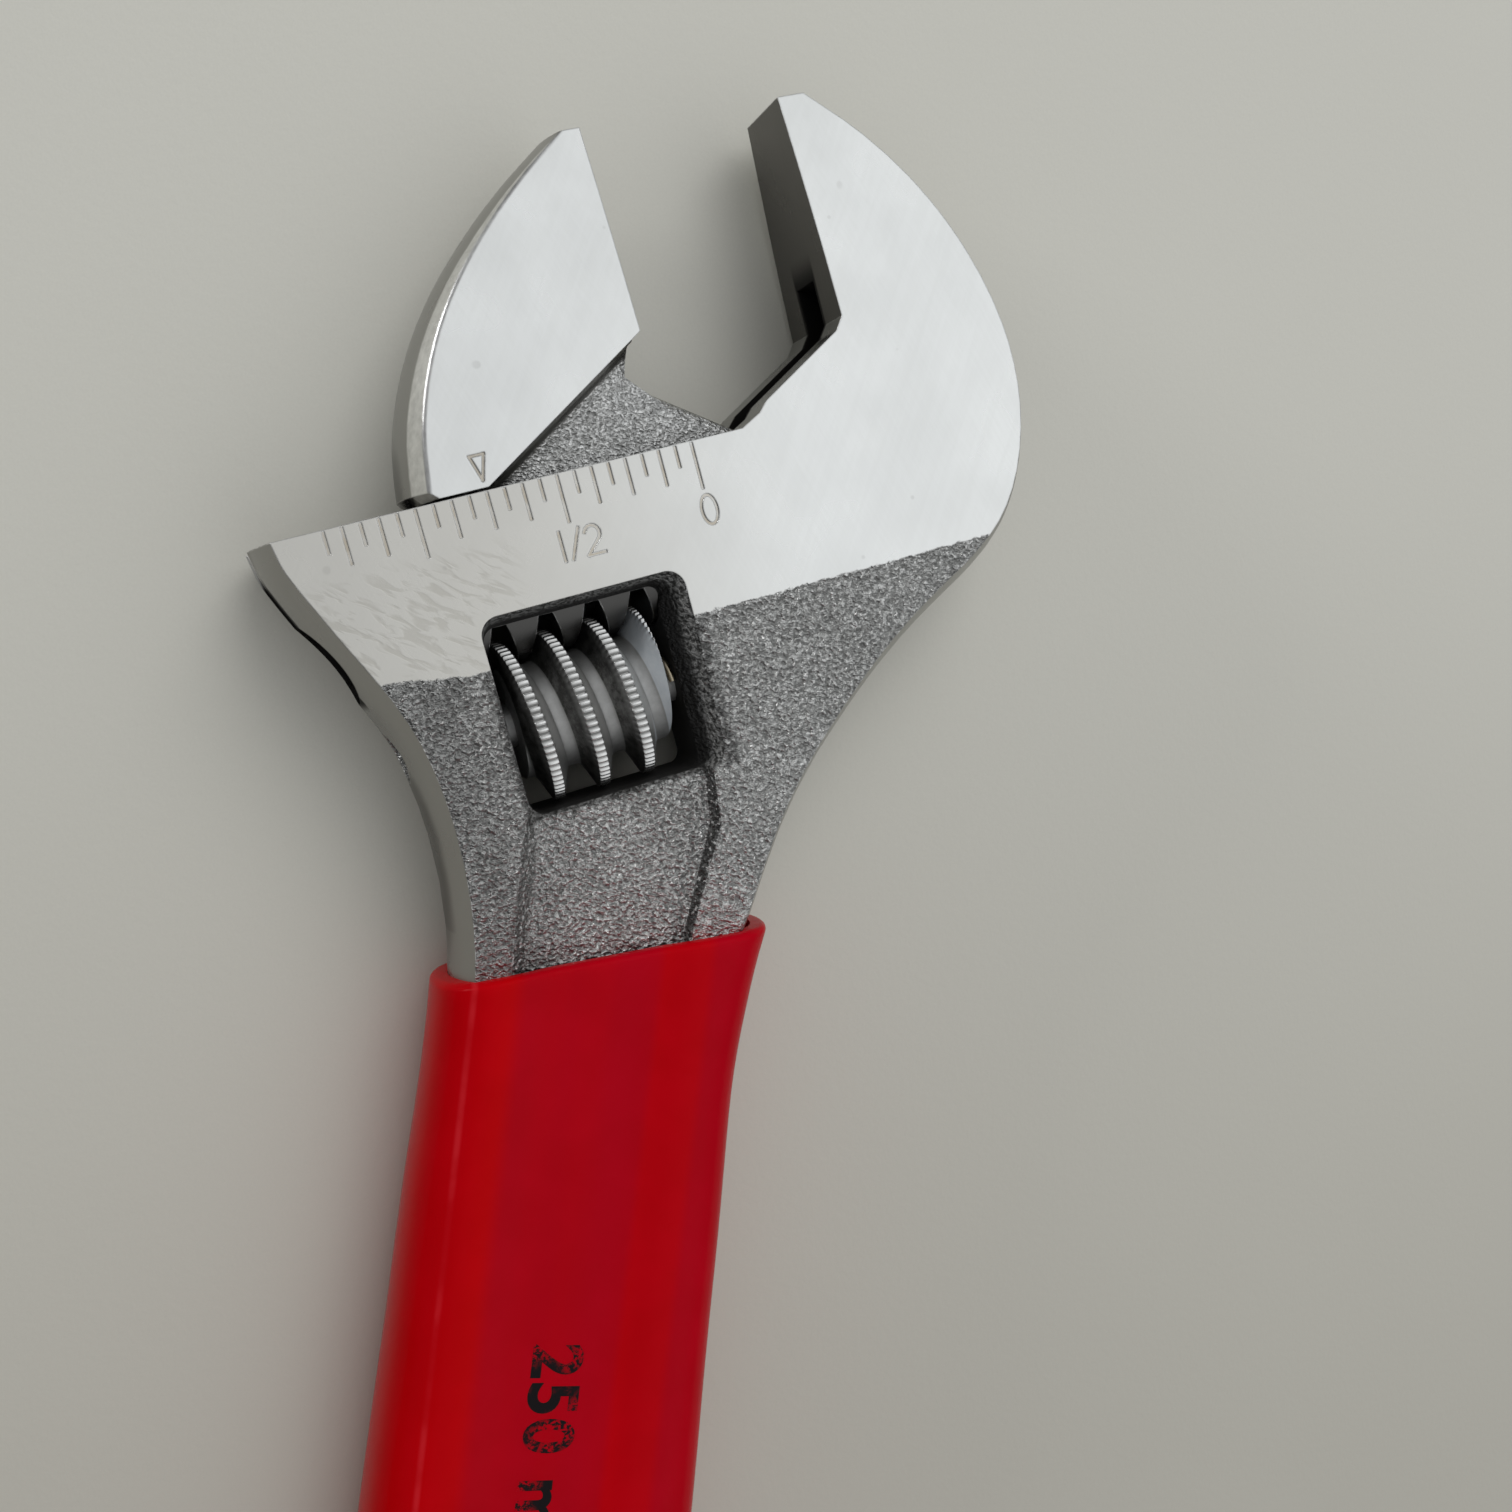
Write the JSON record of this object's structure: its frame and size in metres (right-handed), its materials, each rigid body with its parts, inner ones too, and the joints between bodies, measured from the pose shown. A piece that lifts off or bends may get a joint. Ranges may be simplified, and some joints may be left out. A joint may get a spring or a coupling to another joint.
{
  "type": "adjustable wrench",
  "caption": "Adjustable wrench with a forged chrome head, a sliding jaw moved by a knurled worm, and a red dipped grip",
  "frame": {"origin": "centre of the fixed jaw's flat, at mid thickness", "axes": "+X is the direction the movable jaw slides to close, into the fixed jaw; +Y runs along the jaw flats to their tips; +Z is normal to the broad face. The handle leans 22.5 degrees from -Y towards -X."},
  "size_m": [0.1308, 0.2322, 0.0156],
  "materials": {
    "forged_chrome": "satin chrome plate, ground on the broad faces and pebbled as forged elsewhere",
    "worm_steel": "hardened steel, phosphate dark in the roots and bright on the knurl",
    "spring_steel": "oiled spring wire",
    "red_vinyl": "glossy dipped vinyl"
  },
  "bodies": {
    "handle": {"wrench_body": "forged_chrome", "worm_pin": "worm_steel", "grip": "red_vinyl"},
    "jaw": {"movable_jaw": "forged_chrome"},
    "worm_wheel": {"worm": "worm_steel", "worm_spring": "spring_steel"}
  },
  "joints": [
    {"name": "jaw_slide", "type": "slide", "parent": "handle", "child": "jaw", "axis": [1, 0, 0], "range_m": [-0.01425, 0.019]},
    {"name": "worm_spin", "type": "hinge", "parent": "handle", "child": "worm_wheel", "pos_m": [-0.031, -0.0386, 0], "axis": [1, 0, 0], "range_deg": [-1600, 1200]}
  ],
  "couplings": [
    {"joint": "worm_spin", "follows": "jaw_slide", "rad_per_m": -1444.4}
  ]
}
